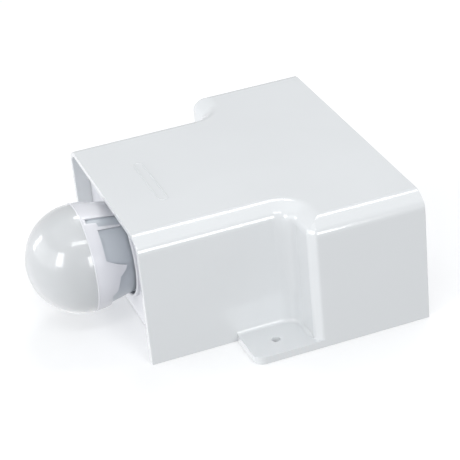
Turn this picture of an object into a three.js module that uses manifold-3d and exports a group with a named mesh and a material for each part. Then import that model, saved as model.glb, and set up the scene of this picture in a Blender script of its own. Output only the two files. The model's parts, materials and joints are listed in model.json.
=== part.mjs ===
// Ceiling motion sensor: a T-shaped cover, a turning sensor head in the stem's open end,
// a power and relay board in the crossbar, and the set-up controls on the rear panel.
// Millimetres, +Z up. The head looks along -Y and the cover is symmetrical about X = 0.
// Drawing coordinates have Y = 0 at the stem's open end; the whole model is then moved
// so that the origin is at the middle of its footprint on the mounting surface.
import * as THREE from 'three';
import { mergeVertices } from 'three/addons/utils/BufferGeometryUtils.js';
import Module from 'manifold-3d';

const wasm = await Module();
wasm.setup();

// ---------- driving dimensions ----------
const GAP = 0.3; // clearance between touching pieces

const HEIGHT = 70;
const BODY_LENGTH = 139.5;
const STEM_HALF = 58.6;
const BAR_HALF = 84.6;
const NOTCH_Y = 78; // front face of the crossbar
const WALL = 3.2;
const TOP_FILLET = 7.5;
const NOTCH_FILLET = 9; // concave vertical corner between stem and crossbar
const BAR_FILLET = 8; // convex vertical corner of the crossbar

const NOTCH_CENTRE = { x: STEM_HALF + NOTCH_FILLET, y: NOTCH_Y - NOTCH_FILLET };

const TAB_FRONT = 45.5;
const TAB_THICKNESS = 3.9;
const TAB_CORNER = 8.5;
const TAB_COVE = 3;
const TAB_HOLE = { x: 72, y: 61, radius: 2.25 };

const FRONT_RECESS = 8.2;
const REAR_RECESS = 6;
const PANEL = 3; // thickness of both end panels
const BASE = 2.5; // thickness of the base plate

const HEAD_Z = 35.8; // height of the head's axis
const HEAD_Y = -15.2; // centre of the lens sphere
const HEAD_RADIUS = 28.3;
const LENS_WALL = 1.4;
const HEAD_TAPER = 0.2; // loss of radius for each millimetre behind the lens
const TAPER_START = { y: -9.8, radius: 27.8 };
const BARREL_BORE = 19.8;
const BARREL_REAR = 24;
const NECK = 23.4; // barrel radius inside the housing
const HEAD_HOLE = 24.8; // hole in the front panel

const BOARD_Z = 10.4;
const BOARD = 1.6; // thickness of the main and control boards
const ROUND = 24; // sides of a large turned piece
const MEDIUM_ROUND = 20;
const SMALL_ROUND = 10; // sides of a small turned piece

// Screws: head radius and height, shank radius, and length over all.
const SCREWS = {
  base: { head: 3.2, headHeight: 0.9, shank: 1.2, length: 13 },
  board: { head: 2.6, headHeight: 1.6, shank: 0.9, length: 8 },
  clamp: { head: 2.6, headHeight: 1.6, shank: 0.9, length: 12 },
  bearing: { head: 1.9, headHeight: 1.4, shank: 0.9, length: 10.5 },
  sensor: { head: 1.7, headHeight: 1.3, shank: 0.9, length: 5.5 },
  terminal: { head: 1.7, headHeight: 1.6, shank: 0.9, length: 3.2 },
};

// ---------- materials ----------
function finish(color, roughness, metalness = 0) {
  return new THREE.MeshStandardMaterial({ color, roughness, metalness });
}

const coverPlastic = finish('#e6eaed', 0.28);
const panelPlastic = finish('#dfe3ea', 0.35);
const headPlastic = finish('#c3cad6', 0.35);
const lensPlastic = finish('#e4e5e4', 0.2);
const baffleWhite = finish('#f0f0ee', 0.6);
const rubber = finish('#2b2c2e', 0.8);
const steel = finish('#b9bcc0', 0.35, 1);
const brass = finish('#c8a75a', 0.35, 1);
const boardGreen = finish('#2f6b45', 0.5);
const partBlack = finish('#26282b', 0.5);
const relayBlue = finish('#2f5f9e', 0.4);
const coilYellow = finish('#d9b23c', 0.5);
const knobGrey = finish('#8d949c', 0.45);
const buttonOrange = finish('#d8682c', 0.45);
const leadGrey = finish('#9aa0a6', 0.6);
const glassClear = finish('#dfe9ea', 0.05);

// ---------- geometry helpers ----------
// A closed three.js geometry as a manifold solid.
function solid(geometry) {
  const bare = geometry.index ? geometry.toNonIndexed() : geometry.clone();
  bare.deleteAttribute('normal');
  bare.deleteAttribute('uv');
  const merged = mergeVertices(bare, 1e-4);
  const index = merged.index.array;
  const triangles = [];
  for (let i = 0; i < index.length; i += 3) {
    const [a, b, c] = [index[i], index[i + 1], index[i + 2]];
    if (a !== b && b !== c && c !== a) {
      triangles.push(a, b, c);
    }
  }
  const vertProperties = new Float32Array(merged.attributes.position.array);
  const triVerts = new Uint32Array(triangles);
  return new wasm.Manifold(new wasm.Mesh({ numProp: 3, vertProperties, triVerts }));
}

function surface(manifold) {
  const mesh = manifold.getMesh();
  const geometry = new THREE.BufferGeometry();
  geometry.setAttribute('position', new THREE.BufferAttribute(mesh.vertProperties, 3));
  geometry.setIndex(new THREE.BufferAttribute(mesh.triVerts, 1));
  return geometry;
}

const assembly = new THREE.Group();

function add(name, manifold, material, parent = assembly) {
  const geometry = surface(manifold);
  geometry.computeVertexNormals();
  const mesh = new THREE.Mesh(geometry, material);
  mesh.name = name;
  parent.add(mesh);
  return mesh;
}

// Box given by its low and high corners.
function block(low, high) {
  const size = high.map((value, axis) => value - low[axis]);
  const middle = high.map((value, axis) => (value + low[axis]) / 2);
  return solid(new THREE.BoxGeometry(...size).translate(...middle));
}

// Solid of revolution about Y through (0, 0, 0). The profile is a list of [radius, y],
// counterclockwise, and either closes on itself or starts and ends on the axis.
function turned(profile, sides = ROUND) {
  const points = profile.map(([radius, y]) => new THREE.Vector2(radius, y));
  if (profile[0][0] > 0) {
    points.push(points[0].clone());
  }
  return solid(new THREE.LatheGeometry(points, sides));
}

// Ring or disc between two planes, about Y.
function disc(outer, low, high, inner = 0, sides = ROUND) {
  return turned([[inner, low], [outer, low], [outer, high], [inner, high]], sides);
}

// Upright cylinder standing on z = low.
function post(x, y, radius, low, high, sides = SMALL_ROUND) {
  const cylinder = new THREE.CylinderGeometry(radius, radius, high - low, sides);
  return solid(cylinder.rotateX(Math.PI / 2).translate(x, y, (low + high) / 2));
}

// Plan outline of the T with rounded corners, shrunk by inset.
function tOutline(inset, front, rear) {
  const stem = STEM_HALF - inset;
  const bar = BAR_HALF - inset;
  const notch = NOTCH_Y + inset;
  const inner = NOTCH_FILLET + inset;
  const outer = BAR_FILLET - inset;
  const shape = new THREE.Shape();
  shape.moveTo(-stem, front);
  shape.lineTo(stem, front);
  shape.lineTo(stem, notch - inner);
  shape.absarc(stem + inner, notch - inner, inner, Math.PI, Math.PI / 2, true);
  shape.lineTo(bar - outer, notch);
  shape.absarc(bar - outer, notch + outer, outer, -Math.PI / 2, 0, false);
  shape.lineTo(bar, rear);
  shape.lineTo(-bar, rear);
  shape.lineTo(-bar, notch + outer);
  shape.absarc(-bar + outer, notch + outer, outer, Math.PI, 1.5 * Math.PI, false);
  shape.lineTo(-stem - inner, notch);
  shape.absarc(-stem - inner, notch - inner, inner, Math.PI / 2, 0, true);
  shape.closePath();
  return shape;
}

// Prism of the T whose upper edges are rounded; its ends and underside are trimmed later.
function roundedT(inset, top, fillet) {
  const overrun = 2 * TOP_FILLET;
  const outline = tOutline(inset, -overrun, BODY_LENGTH + overrun);
  const geometry = new THREE.ExtrudeGeometry(outline, {
    depth: HEIGHT,
    curveSegments: 4,
    bevelThickness: fillet,
    bevelSize: fillet,
    bevelOffset: -fillet,
    bevelSegments: 4,
  });
  return solid(geometry.translate(0, 0, top - fillet - HEIGHT));
}

function extruded(shape, depth) {
  return new THREE.ExtrudeGeometry(shape, { depth, bevelEnabled: false, curveSegments: 4 });
}

function prism(shape, low, high) {
  return solid(extruded(shape, high - low).translate(0, 0, low));
}

// Rounded rectangle in X and Z, extruded along Y: the outline of an end panel.
function archedPlate(half, top, corner, low, high) {
  const shape = new THREE.Shape();
  shape.moveTo(-half, GAP);
  shape.lineTo(half, GAP);
  shape.lineTo(half, top - corner);
  shape.absarc(half - corner, top - corner, corner, 0, Math.PI / 2, false);
  shape.lineTo(-half + corner, top);
  shape.absarc(-half + corner, top - corner, corner, Math.PI / 2, Math.PI, false);
  shape.closePath();
  return solid(extruded(shape, high - low).rotateX(Math.PI / 2).translate(0, high, 0));
}

// Slotted screw along +Y with the top of its head at y = 0.
function screw({ head, headHeight, shank, length }) {
  const profile = [
    [0, 0],
    [head, 0],
    [head, headHeight],
    [shank, headHeight],
    [shank, length],
    [0, length],
  ];
  const slotHalf = head * 0.75;
  const slotDepth = headHeight * 0.45;
  const slot = block([-slotHalf, -1, -0.3], [slotHalf, slotDepth, 0.3]);
  return turned(profile, SMALL_ROUND).subtract(slot);
}

// The same screw driven downwards, with its head uppermost.
function uprightScrew(size) {
  return screw(size).rotate([-90, 0, 0]);
}

// ---------- cover ----------
const COVER_BOSSES = [[-46, 24], [46, 24], [-70, 118], [70, 118]];
const BOSS = { radius: 4.2, pilot: 1.5, depth: 12, headRadius: 3.6, headDepth: 1.4 };
const RIB = { depth: 2.2, thickness: 2, from: 0.35, to: 0.8 }; // roof rib: shares of the half width

function mountingTab(side) {
  const shape = new THREE.Shape();
  shape.moveTo(STEM_HALF - WALL / 2, TAB_FRONT);
  shape.lineTo(BAR_HALF - TAB_CORNER, TAB_FRONT);
  shape.absarc(BAR_HALF - TAB_CORNER, TAB_FRONT + TAB_CORNER, TAB_CORNER, -Math.PI / 2, 0, false);
  shape.lineTo(BAR_HALF, NOTCH_Y + BAR_FILLET);
  shape.lineTo(BAR_HALF - WALL / 2, NOTCH_Y + BAR_FILLET);
  shape.lineTo(BAR_HALF - BAR_FILLET, NOTCH_Y + WALL / 2);
  shape.lineTo(NOTCH_CENTRE.x, NOTCH_Y + WALL / 2);
  shape.absarc(NOTCH_CENTRE.x, NOTCH_CENTRE.y, NOTCH_FILLET + WALL / 2, Math.PI / 2, Math.PI, false);
  shape.closePath();
  const tab = prism(shape, 0, TAB_THICKNESS).add(coves());
  const pierced = tab.subtract(post(TAB_HOLE.x, TAB_HOLE.y, TAB_HOLE.radius, -1, TAB_THICKNESS + 1));
  return side > 0 ? pierced : pierced.mirror([1, 0, 0]);
}

// Section of the small concave radius, with the wall at x = 0 and the tab at y = 0.
function coveSection() {
  const section = new THREE.Shape();
  section.moveTo(-1, -1);
  section.lineTo(TAB_COVE, -1);
  section.lineTo(TAB_COVE, 0);
  section.absarc(TAB_COVE, TAB_COVE, TAB_COVE, -Math.PI / 2, Math.PI, true);
  section.lineTo(-1, TAB_COVE);
  section.closePath();
  return section;
}

// The concave radius along the stem wall, round the notch corner and along the crossbar.
function coves() {
  const section = coveSection();
  const alongStem = extruded(section, NOTCH_CENTRE.y - TAB_FRONT);
  alongStem.rotateX(Math.PI / 2).translate(STEM_HALF, NOTCH_CENTRE.y, TAB_THICKNESS);
  const barReach = BAR_HALF - BAR_FILLET - NOTCH_CENTRE.x;
  const alongBar = extruded(section, barReach);
  alongBar.rotateX(Math.PI / 2).rotateZ(-Math.PI / 2).translate(NOTCH_CENTRE.x, NOTCH_Y, TAB_THICKNESS);
  const profile = section.getPoints(4).map((point) => [NOTCH_FILLET - point.x, point.y]);
  const ring = turned(profile.reverse(), ROUND).rotate([90, 0, 0]);
  const corner = ring.translate(NOTCH_CENTRE.x, NOTCH_CENTRE.y, TAB_THICKNESS);
  const quarter = block([STEM_HALF - 2, NOTCH_CENTRE.y, 0], [NOTCH_CENTRE.x, NOTCH_Y + 2, HEIGHT / 2]);
  return solid(alongStem).add(solid(alongBar)).add(corner.intersect(quarter));
}

// Ribs inside the walls that stop an end panel from being pushed in.
function stopRibs(half, low, high) {
  const inner = half - WALL;
  const top = HEIGHT - WALL;
  const roofRib = block([inner * RIB.from, low, top - RIB.depth], [inner * RIB.to, high, top + 1]);
  const wallRib = block([inner - RIB.depth, low, BASE + 2 * GAP], [inner + 1, high, top - TOP_FILLET - 0.5]);
  const ribs = roofRib.add(wallRib);
  return ribs.add(ribs.mirror([1, 0, 0]));
}

function cover() {
  const hollow = roundedT(WALL, HEIGHT - WALL, TOP_FILLET - WALL);
  const shell = roundedT(0, HEIGHT, TOP_FILLET).subtract(hollow);
  const envelope = block([-BAR_HALF - 1, 0, 0], [BAR_HALF + 1, BODY_LENGTH, HEIGHT + 1]);
  let body = shell.intersect(envelope).add(mountingTab(-1)).add(mountingTab(1));
  const behindFront = FRONT_RECESS + PANEL + GAP;
  const beforeRear = BODY_LENGTH - REAR_RECESS - PANEL - GAP;
  body = body.add(stopRibs(STEM_HALF, behindFront, behindFront + RIB.thickness));
  body = body.add(stopRibs(BAR_HALF, beforeRear - RIB.thickness, beforeRear));
  for (const [x, y] of COVER_BOSSES) {
    const low = BASE + GAP;
    const boss = post(x, y, BOSS.radius, low, HEIGHT - WALL + 1);
    body = body.add(boss).subtract(post(x, y, BOSS.pilot, low - 1, low + BOSS.depth));
  }
  return body;
}

// ---------- base plate and end panels ----------
const BOARD_POSTS = [[-56, 88], [56, 88], [-56, 112], [56, 112]];
const BOARD_POST = { radius: 3.2, pilot: 1.2, pilotLow: 4 };
const CLAMP = { x: 44, y: 122, halfSpan: 9, halfDepth: 3.2, thickness: 7, groove: 4.2 };
const CLAMP_POST = { radius: 2.8, pilot: 1.2, pilotLow: 16, top: 24 };

function basePlate() {
  const inset = WALL + GAP;
  const front = FRONT_RECESS + PANEL + GAP;
  const rear = BODY_LENGTH - REAR_RECESS - PANEL - GAP;
  let plate = prism(tOutline(inset, front, rear), 0, BASE);
  for (const [x, y] of COVER_BOSSES) {
    plate = plate.subtract(post(x, y, BOSS.headRadius, -1, BOSS.headDepth));
    plate = plate.subtract(post(x, y, BOSS.pilot + 0.1, -1, BASE + 1));
  }
  for (const [x, y] of BOARD_POSTS) {
    plate = hollowPost(plate, x, y, BOARD_POST, BOARD_Z - GAP);
  }
  for (const side of [-1, 1]) {
    plate = hollowPost(plate, CLAMP.x + side * CLAMP.halfSpan, CLAMP.y, CLAMP_POST, CLAMP_POST.top);
  }
  return plate;
}

// Adds a screw post with a blind pilot hole to the base plate.
function hollowPost(plate, x, y, { radius, pilot, pilotLow }, top) {
  const pillar = post(x, y, radius, BASE - 1, top);
  return plate.add(pillar).subtract(post(x, y, pilot, pilotLow, top + 1));
}

const BEARING = {
  low: 11.5,
  shoulder: 14,
  high: 18,
  recess: 26.2,
  bore: 24.2,
  outer: 30.4,
  screwCircle: 28.2,
};
const BEARING_SCREW_ANGLES = [60, 180, 300];
const SCREW_HOLE = 1.2; // radius of the holes for the small screws
const BEZEL = { width: 1.5, stand: 2 };

function frontPanel() {
  const plateRear = FRONT_RECESS + PANEL;
  const inset = WALL + GAP;
  const plate = archedPlate(STEM_HALF - inset, HEIGHT - inset, TOP_FILLET - WALL, FRONT_RECESS, plateRear);
  const bezelFront = FRONT_RECESS - BEZEL.stand;
  const bezel = disc(HEAD_HOLE + BEZEL.width, bezelFront, FRONT_RECESS + 1, HEAD_HOLE);
  let panel = plate.add(bezel.translate(0, 0, HEAD_Z));
  panel = panel.subtract(disc(HEAD_HOLE, 0, plateRear + 1).translate(0, 0, HEAD_Z));
  for (const angle of BEARING_SCREW_ANGLES) {
    const hole = disc(SCREW_HOLE, plateRear - 2.4, plateRear + 1, 0, SMALL_ROUND);
    panel = panel.subtract(placedOnCircle(hole, BEARING.screwCircle, angle));
  }
  return panel;
}

// Moves a piece made on the Y axis out to a circle about the head's axis.
function placedOnCircle(piece, radius, degrees) {
  const angle = THREE.MathUtils.degToRad(degrees);
  return piece.translate(radius * Math.cos(angle), 0, HEAD_Z + radius * Math.sin(angle));
}

const CONTROL_Z = 36;
const DIALS = [
  { name: 'time', x: -56 },
  { name: 'light', x: -38 },
  { name: 'range', x: -20 },
];
const DIAL_RADIUS = 6.5;
const BUTTON = { x: -4, travel: 1.2, stemEnd: 125, hole: 4.2 };
const SLIDER = { x: 12, travel: 3, halfWidth: 1.9, halfHeight: 1.7 };
const SLOT_HALF = SLIDER.halfWidth + SLIDER.travel + 0.5;
const GROMMET = { x: 44, z: 27, hole: 8, bore: 3.6, flange: 2 };

function rearPanel() {
  const low = BODY_LENGTH - REAR_RECESS - PANEL;
  const high = low + PANEL;
  const inset = WALL + GAP;
  let panel = archedPlate(BAR_HALF - inset, HEIGHT - inset, TOP_FILLET - WALL, low, high);
  function pierce(radius, x, z, sides) {
    panel = panel.subtract(disc(radius, low - 1, high + 1, 0, sides).translate(x, 0, z));
  }
  for (const { x } of DIALS) {
    pierce(DIAL_RADIUS + 0.4, x, CONTROL_Z, MEDIUM_ROUND);
  }
  pierce(BUTTON.hole, BUTTON.x, CONTROL_Z, 16);
  pierce(GROMMET.hole, GROMMET.x, GROMMET.z, MEDIUM_ROUND);
  const slotHeight = SLIDER.halfHeight + 0.4;
  const slotLow = [SLIDER.x - SLOT_HALF, low - 1, CONTROL_Z - slotHeight];
  const slotHigh = [SLIDER.x + SLOT_HALF, high + 1, CONTROL_Z + slotHeight];
  return panel.subtract(block(slotLow, slotHigh));
}

// ---------- sensor head, made about the Y axis ----------
const headGroup = new THREE.Group();
headGroup.position.z = HEAD_Z;
assembly.add(headGroup);

// Radius of the head's outer surface behind the lens.
function taper(y) {
  return TAPER_START.radius - HEAD_TAPER * (y - TAPER_START.y);
}

function lensDome() {
  const steps = 7;
  const inner = HEAD_RADIUS - LENS_WALL;
  const flange = inner - 0.9;
  const flangeWall = 0.8;
  const flangeRear = HEAD_Y + 3.2;
  const flangeStart = Math.acos(flange / inner);
  const profile = [];
  for (let i = 0; i <= steps; i++) {
    const angle = (Math.PI / 2) * (1 - i / steps);
    profile.push([HEAD_RADIUS * Math.cos(angle) * (i > 0), HEAD_Y - HEAD_RADIUS * Math.sin(angle)]);
  }
  profile.push([HEAD_RADIUS, HEAD_Y + 0.2], [flange + flangeWall, HEAD_Y + 0.2]);
  profile.push([flange + flangeWall, flangeRear], [flange, flangeRear]);
  for (let i = 0; i <= steps; i++) {
    const angle = flangeStart + (Math.PI / 2 - flangeStart) * (i / steps);
    profile.push([i < steps ? inner * Math.cos(angle) : 0, HEAD_Y - inner * Math.sin(angle)]);
  }
  return turned(profile);
}

// Rear edge of the collar: [from, to, y] in degrees about the head's axis, from level on
// the right (0) over the top (90); the left half mirrors it.
const COLLAR_REAR = 4.5;
const COLLAR_STEPS = [
  [55, 70, -12.4],
  [20, 51, -8],
  [14, 20, -2.5],
  [1, 4, 0.5],
  [-16, 1, -2.2],
  [-22, -16, -4.5],
  [-92, -22, -6.8],
];

// Wedge about the Y axis from one angle to another, behind y = low.
function sector(from, to, low) {
  const reach = 1.3 * HEAD_RADIUS;
  const shape = new THREE.Shape();
  shape.moveTo(0, 0);
  const pieces = Math.ceil((to - from) / 30);
  for (let i = 0; i <= pieces; i++) {
    const angle = THREE.MathUtils.degToRad(from + ((to - from) * i) / pieces);
    shape.lineTo(reach * Math.cos(angle), reach * Math.sin(angle));
  }
  shape.closePath();
  const depth = COLLAR_REAR + 1 - low;
  return solid(extruded(shape, depth).rotateX(Math.PI / 2).translate(0, low + depth, 0));
}

function lensCollar() {
  const front = HEAD_Y + 0.5;
  const wall = 0.9;
  const profile = [
    [HEAD_RADIUS - wall, front],
    [HEAD_RADIUS, front],
    [TAPER_START.radius + 0.2, TAPER_START.y],
    [taper(COLLAR_REAR) + 0.2, COLLAR_REAR],
    [taper(COLLAR_REAR) + 0.2 - wall, COLLAR_REAR],
    [TAPER_START.radius + 0.2 - wall, TAPER_START.y],
  ];
  let collar = turned(profile, 36);
  for (const [from, to, low] of COLLAR_STEPS) {
    const cut = sector(from, to, low);
    collar = collar.subtract(cut).subtract(cut.mirror([1, 0, 0]));
  }
  return collar;
}

function headBarrel() {
  const skin = 1.1; // how far the barrel lies under the collar's outer surface
  const shoulder = -8;
  const profile = [
    [BARREL_BORE + 4.7, HEAD_Y + 0.6],
    [TAPER_START.radius - 2.4, HEAD_Y + 0.6],
    [TAPER_START.radius - 2.4, HEAD_Y + 3.6],
    [TAPER_START.radius - skin, HEAD_Y + 3.9],
    [TAPER_START.radius - skin, TAPER_START.y],
    [taper(7.2) - skin, 7.2],
    [NECK, 7.6],
    [NECK, 11.3],
    [21.2, 11.3],
    [21.2, BEARING.shoulder],
    [NECK, BEARING.shoulder],
    [NECK, 15.5],
    [21.4, 15.5],
    [21.4, 17.5],
    [NECK, 17.5],
    [NECK, BARREL_REAR],
    [BARREL_BORE, BARREL_REAR],
    [BARREL_BORE, shoulder],
    [BARREL_BORE + 4.7, shoulder],
  ];
  const stop = block([-2, 19, NECK - 1], [2, 21.5, 25.6]);
  let barrel = turned(profile).add(stop);
  for (const side of [-1, 1]) {
    const hole = disc(SCREW_HOLE, shoulder - 1, shoulder + 5, 0, SMALL_ROUND);
    barrel = barrel.subtract(hole.translate(side * SENSOR_SCREW_X, 0, 0));
  }
  return barrel;
}

function bearingRing() {
  const profile = [
    [BEARING.recess, BEARING.low],
    [BEARING.outer, BEARING.low],
    [BEARING.outer, BEARING.high],
    [BEARING.bore, BEARING.high],
    [BEARING.bore, BEARING.shoulder],
    [BEARING.recess, BEARING.shoulder],
  ];
  const stop = block([-2, BEARING.high - 1, -28.5], [2, BEARING.high + 3.2, -24.3]);
  let ring = turned(profile).add(stop);
  for (const angle of BEARING_SCREW_ANGLES) {
    const hole = disc(SCREW_HOLE + 0.1, BEARING.low - 1, BEARING.high + 1, 0, SMALL_ROUND);
    ring = ring.subtract(placedOnCircle(hole, BEARING.screwCircle, angle).translate(0, 0, -HEAD_Z));
  }
  return ring;
}

// Open spring ring in the barrel's front groove, behind the front panel.
function retainingClip() {
  const clip = { outer: 25.4, inner: 21.8, low: 11.6, high: 13.7, mouthHalf: 4 };
  const ring = disc(clip.outer, clip.low, clip.high, clip.inner);
  const mouth = block([-clip.mouthHalf, clip.low - 1, -30], [clip.mouthHalf, clip.high + 1, 0]);
  return ring.subtract(mouth);
}

// Rubber ring in the barrel's rear groove; its section is a hexagon.
function frictionSeal() {
  const seal = { radius: 22.8, y: 16.5, tube: 0.8, sides: 6 };
  const profile = [];
  for (let i = 0; i < seal.sides; i++) {
    const angle = (i / seal.sides) * 2 * Math.PI;
    profile.push([seal.radius + seal.tube * Math.cos(angle), seal.y + seal.tube * Math.sin(angle)]);
  }
  return turned(profile);
}

function headCap() {
  const leadHole = 4;
  const cap = disc(BARREL_BORE - 0.5, 21, 23.5, leadHole, MEDIUM_ROUND);
  return cap.add(disc(6.5, 20, 21.5, leadHole, SMALL_ROUND));
}

const BOARD_FRONT = -9.7; // front face of the round sensor board
const SENSOR_BOARD = 1.4; // its thickness
const SENSOR_SCREW_X = 22;
const BAFFLE_FRONT = -14.3;
const BAFFLE = 1.2;
const EYE = { radius: 4.6, front: -16.5 };
const LAMP = { x: 12, radius: 1.5 };

function sensorBoard() {
  let board = disc(BARREL_BORE + 4, BOARD_FRONT, BOARD_FRONT + SENSOR_BOARD);
  for (const side of [-1, 1]) {
    const hole = disc(SCREW_HOLE, BOARD_FRONT - 1, BOARD_FRONT + SENSOR_BOARD + 1, 0, SMALL_ROUND);
    board = board.subtract(hole.translate(side * SENSOR_SCREW_X, 0, 0));
  }
  return board;
}

function lensBaffle() {
  const legs = { radius: 1.5, circle: 17, angles: [30, 150, 270] };
  let baffle = disc(BARREL_BORE + 4, BAFFLE_FRONT, BAFFLE_FRONT + BAFFLE, EYE.radius + GAP);
  for (const angle of legs.angles) {
    const leg = disc(legs.radius, BAFFLE_FRONT + 0.5, BOARD_FRONT - GAP, 0, SMALL_ROUND);
    baffle = baffle.add(placedOnCircle(leg, legs.circle, angle).translate(0, 0, -HEAD_Z));
  }
  for (const side of [-1, 1]) {
    const hole = disc(LAMP.radius + 0.5, BAFFLE_FRONT - 1, BAFFLE_FRONT + 2, 0, SMALL_ROUND);
    baffle = baffle.subtract(hole.translate(side * LAMP.x, 0, 0));
  }
  return baffle;
}

function heatSensor() {
  const rear = BOARD_FRONT - GAP;
  const can = disc(EYE.radius, EYE.front, rear, 0, MEDIUM_ROUND);
  return can.subtract(block([-2, EYE.front - 1, -1.5], [2, EYE.front + 0.5, 1.5]));
}

// Domed lamp or light cell standing on the sensor board.
function lamp(front) {
  const rear = BOARD_FRONT - GAP;
  const profile = [
    [0, front],
    [0.6 * LAMP.radius, front + 0.2],
    [LAMP.radius, front + 1],
    [LAMP.radius, rear],
    [0, rear],
  ];
  return turned(profile, 12);
}

function buildHead() {
  add('lens_dome', lensDome(), lensPlastic, headGroup);
  add('lens_collar', lensCollar(), panelPlastic, headGroup);
  add('head_barrel', headBarrel(), headPlastic, headGroup);
  add('retaining_clip', retainingClip(), steel, headGroup);
  add('friction_seal', frictionSeal(), rubber, headGroup);
  add('head_cap', headCap(), headPlastic, headGroup);
  add('sensor_board', sensorBoard(), boardGreen, headGroup);
  add('lens_baffle', lensBaffle(), baffleWhite, headGroup);
  add('heat_sensor', heatSensor(), steel, headGroup);
  add('status_lamp', lamp(-16).translate(LAMP.x, 0, 0), glassClear, headGroup);
  add('light_cell', lamp(-15.4).translate(-LAMP.x, 0, 0), glassClear, headGroup);
  for (const side of [-1, 1]) {
    const top = BOARD_FRONT - GAP - SCREWS.sensor.headHeight;
    const fixing = screw(SCREWS.sensor).translate(side * SENSOR_SCREW_X, top, 0);
    add(side < 0 ? 'sensor_screw_left' : 'sensor_screw_right', fixing, steel, headGroup);
  }
  const plugFront = BOARD_FRONT + SENSOR_BOARD + GAP;
  const plug = block([-5, plugFront, -3], [5, plugFront + 4, 3]);
  add('head_plug', plug, baffleWhite, headGroup);
  add('bearing_ring', bearingRing(), panelPlastic, headGroup);
}

function buildBearingScrews() {
  const top = BEARING.high + GAP + SCREWS.bearing.headHeight;
  BEARING_SCREW_ANGLES.forEach((angle, index) => {
    const fixing = screw(SCREWS.bearing).mirror([0, 1, 0]).translate(0, top, 0);
    add(`bearing_screw_${index + 1}`, placedOnCircle(fixing, BEARING.screwCircle, angle), steel);
  });
}

// ---------- main board and its parts ----------
const BOARD_TOP = BOARD_Z + BOARD;
const SEAT = BOARD_TOP + GAP; // underside of every part on the main board

function mainBoard() {
  let board = block([-62, 84, BOARD_Z], [62, 116, BOARD_TOP]);
  for (const [x, y] of BOARD_POSTS) {
    board = board.subtract(post(x, y, 1.5, BOARD_Z - 1, BOARD_TOP + 1));
  }
  return board;
}

function transformer() {
  const core = block([-50, 90, SEAT], [-20, 114, SEAT + 25]);
  const bobbin = block([-45, 87, SEAT + 3], [-25, 114, SEAT + 22]);
  return core.add(bobbin);
}

const TERMINALS = {
  x: 24,
  y: 98,
  poles: 4,
  pitch: 6.5,
  depth: 12,
  height: 13,
  screwY: 104,
  holeRadius: 2.1,
};

function terminalCentre(index) {
  return TERMINALS.x + TERMINALS.pitch * (index + 0.5);
}

function terminalBlock() {
  const { x: left, y: front, poles, pitch, depth, height, screwY, holeRadius: half } = TERMINALS;
  let body = block([left, front, SEAT], [left + poles * pitch, front + depth, SEAT + height]);
  for (let i = 0; i < poles; i++) {
    const x = terminalCentre(i);
    const wireWay = block([x - half, front + 4, SEAT + 2], [x + half, front + depth + 1, SEAT + 6]);
    const screwWay = post(x, screwY, half, SEAT + 8, SEAT + height + 1, 12);
    body = body.subtract(wireWay).subtract(screwWay);
  }
  return body;
}

function terminalScrews() {
  for (let i = 0; i < TERMINALS.poles; i++) {
    const fixing = uprightScrew(SCREWS.terminal).translate(terminalCentre(i), TERMINALS.screwY, SEAT + 11.6);
    add(`terminal_screw_${i + 1}`, fixing, brass);
  }
}

// Glass fuse lying along X, with a lead at each end.
function fuse() {
  const length = 20;
  const barrel = disc(2.6, 0, length, 0, 12);
  const lead = disc(0.5, -2, length + 2, 0, 8);
  return barrel.add(lead).rotate([0, 0, -90]).translate(10, 113, SEAT + 3);
}

// Plain blocks on the main board.
const BOARD_BLOCKS = [
  { name: 'relay', x: [-14, 5], y: [97, 112], height: 15.5, material: relayBlue },
  { name: 'filter_capacitor', x: [24, 40], y: [87, 93], height: 11, material: coilYellow },
  { name: 'surge_absorber', x: [44, 48], y: [88, 95], height: 9, material: relayBlue },
  { name: 'controller_chip', x: [-15, -8], y: [88, 94], height: 1.8, material: partBlack },
  { name: 'lead_socket', x: [-5, 5], y: [88, 93], height: 7, material: baffleWhite },
];

// Round lead from the plug behind the sensor board to its socket on the main board.
function headLead() {
  const route = new THREE.CatmullRomCurve3([
    new THREE.Vector3(0, -3.6, HEAD_Z),
    new THREE.Vector3(0, 12, HEAD_Z),
    new THREE.Vector3(0, 30, HEAD_Z),
    new THREE.Vector3(0, 44, HEAD_Z - 3),
    new THREE.Vector3(0, 58, HEAD_Z - 14),
    new THREE.Vector3(0, 72, HEAD_Z - 19),
    new THREE.Vector3(0, 87.7, HEAD_Z - 20),
  ]);
  const section = new THREE.Shape();
  section.absarc(0, 0, 1.6, 0, 2 * Math.PI, false);
  const geometry = new THREE.ExtrudeGeometry(section, { steps: 18, curveSegments: 4, extrudePath: route });
  return solid(geometry);
}

function buildMainBoard() {
  add('main_board', mainBoard(), boardGreen);
  BOARD_POSTS.forEach(([x, y], index) => {
    const top = SEAT + SCREWS.board.headHeight;
    const fixing = uprightScrew(SCREWS.board).translate(x, y, top);
    add(`board_screw_${index + 1}`, fixing, steel);
  });
  for (const { name, x, y, height, material } of BOARD_BLOCKS) {
    add(name, block([x[0], y[0], SEAT], [x[1], y[1], SEAT + height]), material);
  }
  add('transformer', transformer(), coilYellow);
  add('supply_capacitor', post(14, 92, 6, SEAT, SEAT + 18, 18), partBlack);
  add('fuse', fuse(), glassClear);
  add('head_lead', headLead(), leadGrey);
  add('terminal_block', terminalBlock(), baffleWhite);
  terminalScrews();
}

// ---------- set-up controls on the rear panel ----------
const PANEL_REAR = BODY_LENGTH - REAR_RECESS;
const CONTROL_BOARD = { low: 118.5, high: 120.1 };

const CONTROL_STAND = 2.2; // how far dials and slider stand out of the rear panel

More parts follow.
